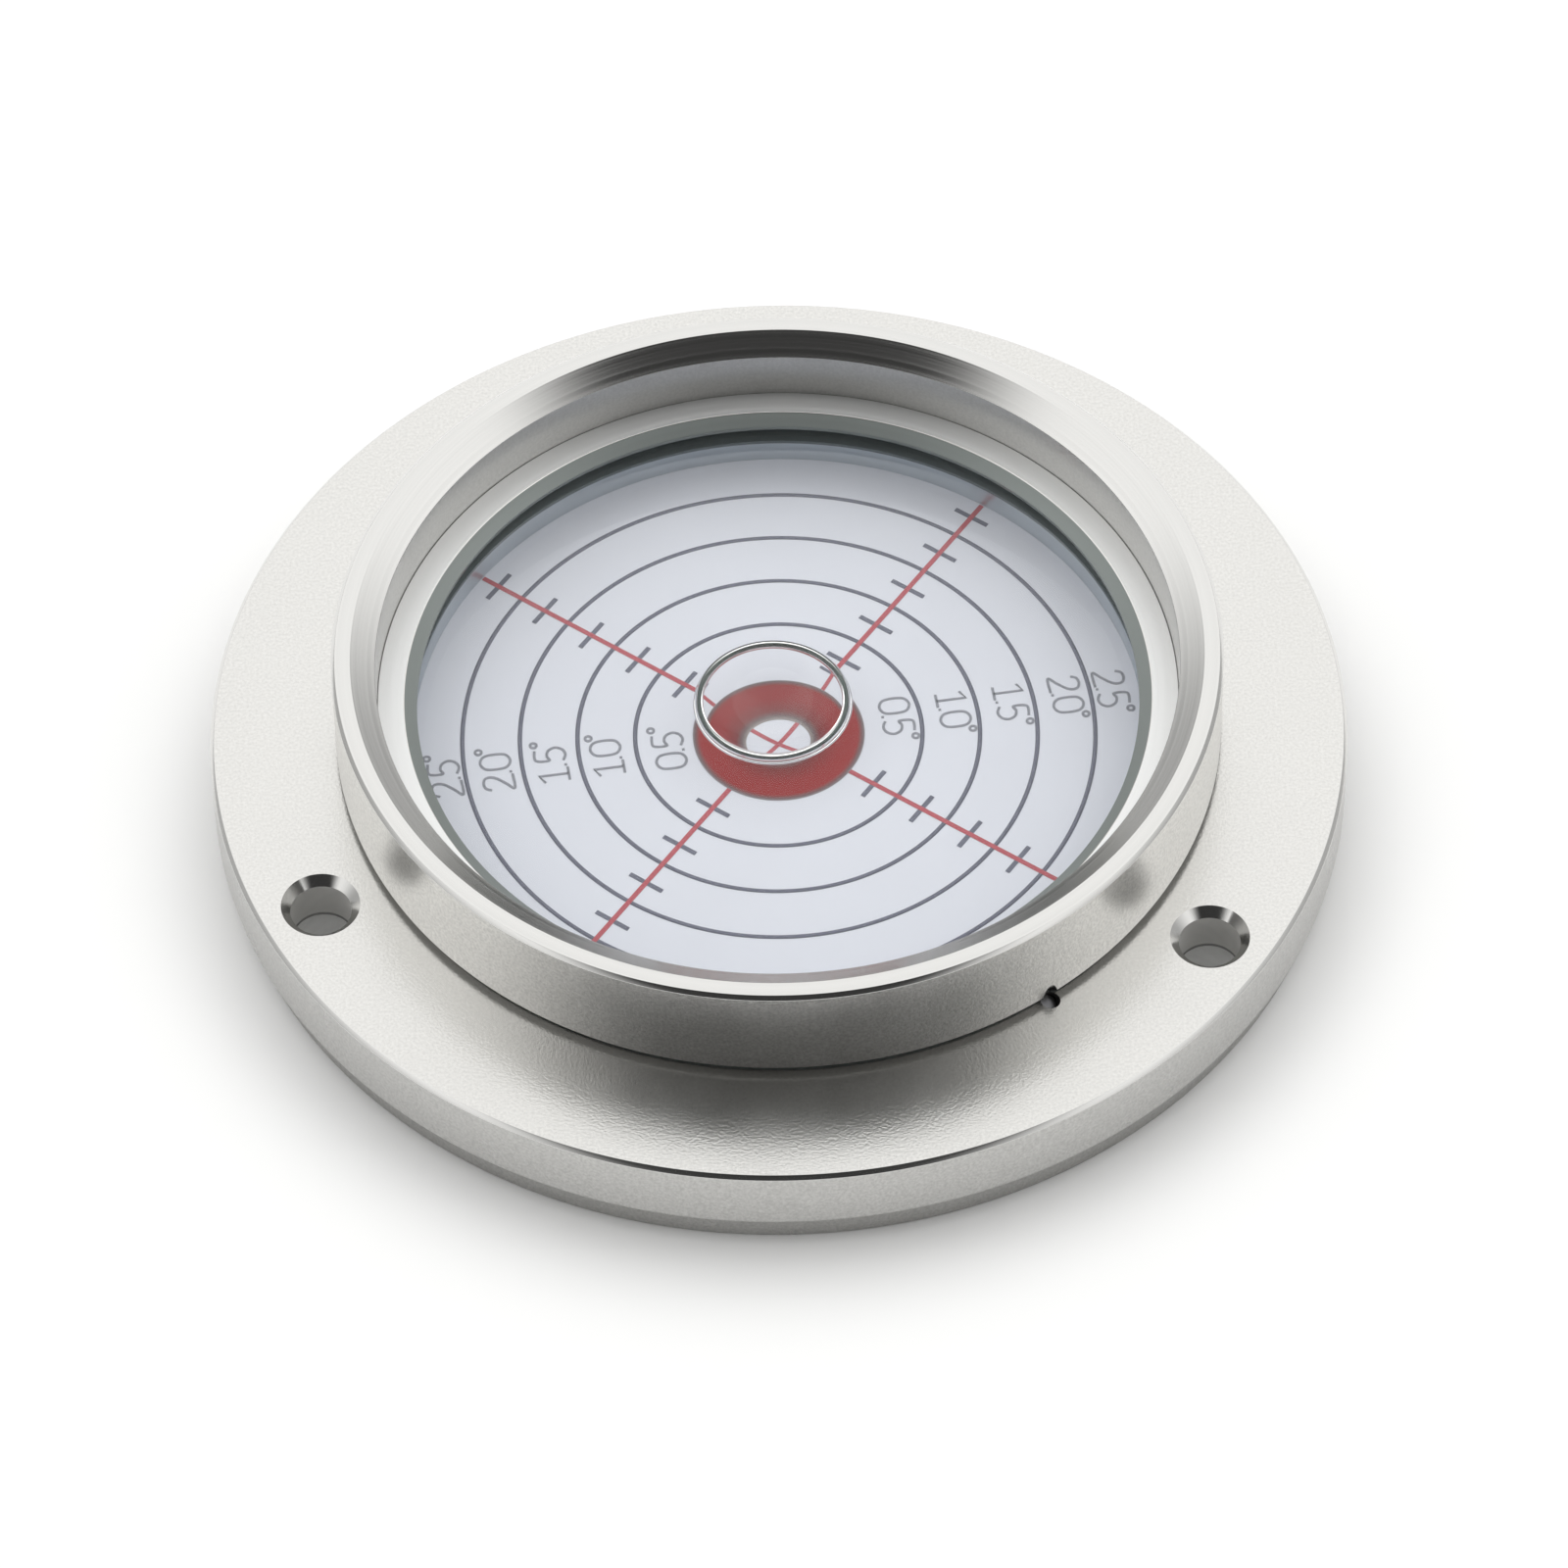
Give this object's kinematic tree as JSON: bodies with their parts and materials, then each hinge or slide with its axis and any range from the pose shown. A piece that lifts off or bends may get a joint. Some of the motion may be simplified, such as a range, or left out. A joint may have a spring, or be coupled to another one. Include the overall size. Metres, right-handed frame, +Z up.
{
  "type": "bullseye level",
  "caption": "Flange-mounted circular bubble level: a turned collar with a liquid vial, ringed tilt scale and concave glass on a round flange with screw holes.",
  "frame": {"origin": "centre of the underside, on the surface that the level is screwed to", "axes": "+Z up through the glass, along the turning axis; -Y towards the viewer of the reference view"},
  "size_m": [0.09, 0.09, 0.0178],
  "materials": {
    "flange_metal": "bead-blasted and clear anodised, turned edges left bright",
    "pin_steel": "ground stainless",
    "ring_metal": "satin, clear anodised",
    "window_glass": "polished, slightly green at its edge",
    "spirit_clear": "clear liquid",
    "seal_rubber": "matt black",
    "plug_brass": "turned",
    "dial_white": "satin white",
    "print_grey": "printed, satin",
    "print_red": "printed, satin"
  },
  "bodies": {
    "root": {"mounting_flange": "flange_metal", "vial_housing": "flange_metal", "housing_lock_pin": "pin_steel", "retaining_ring": "ring_metal", "retaining_ring_gasket": "seal_rubber", "glass_window": "window_glass", "window_seal": "seal_rubber", "spirit_fill": "spirit_clear", "dial_plate": "dial_white", "fill_plug": "plug_brass", "fill_plug_seal": "seal_rubber", "scale_rings": "print_grey", "scale_ticks": "print_grey", "cross_lines": "print_red", "centre_ring": "print_red"}
  },
  "joints": []
}
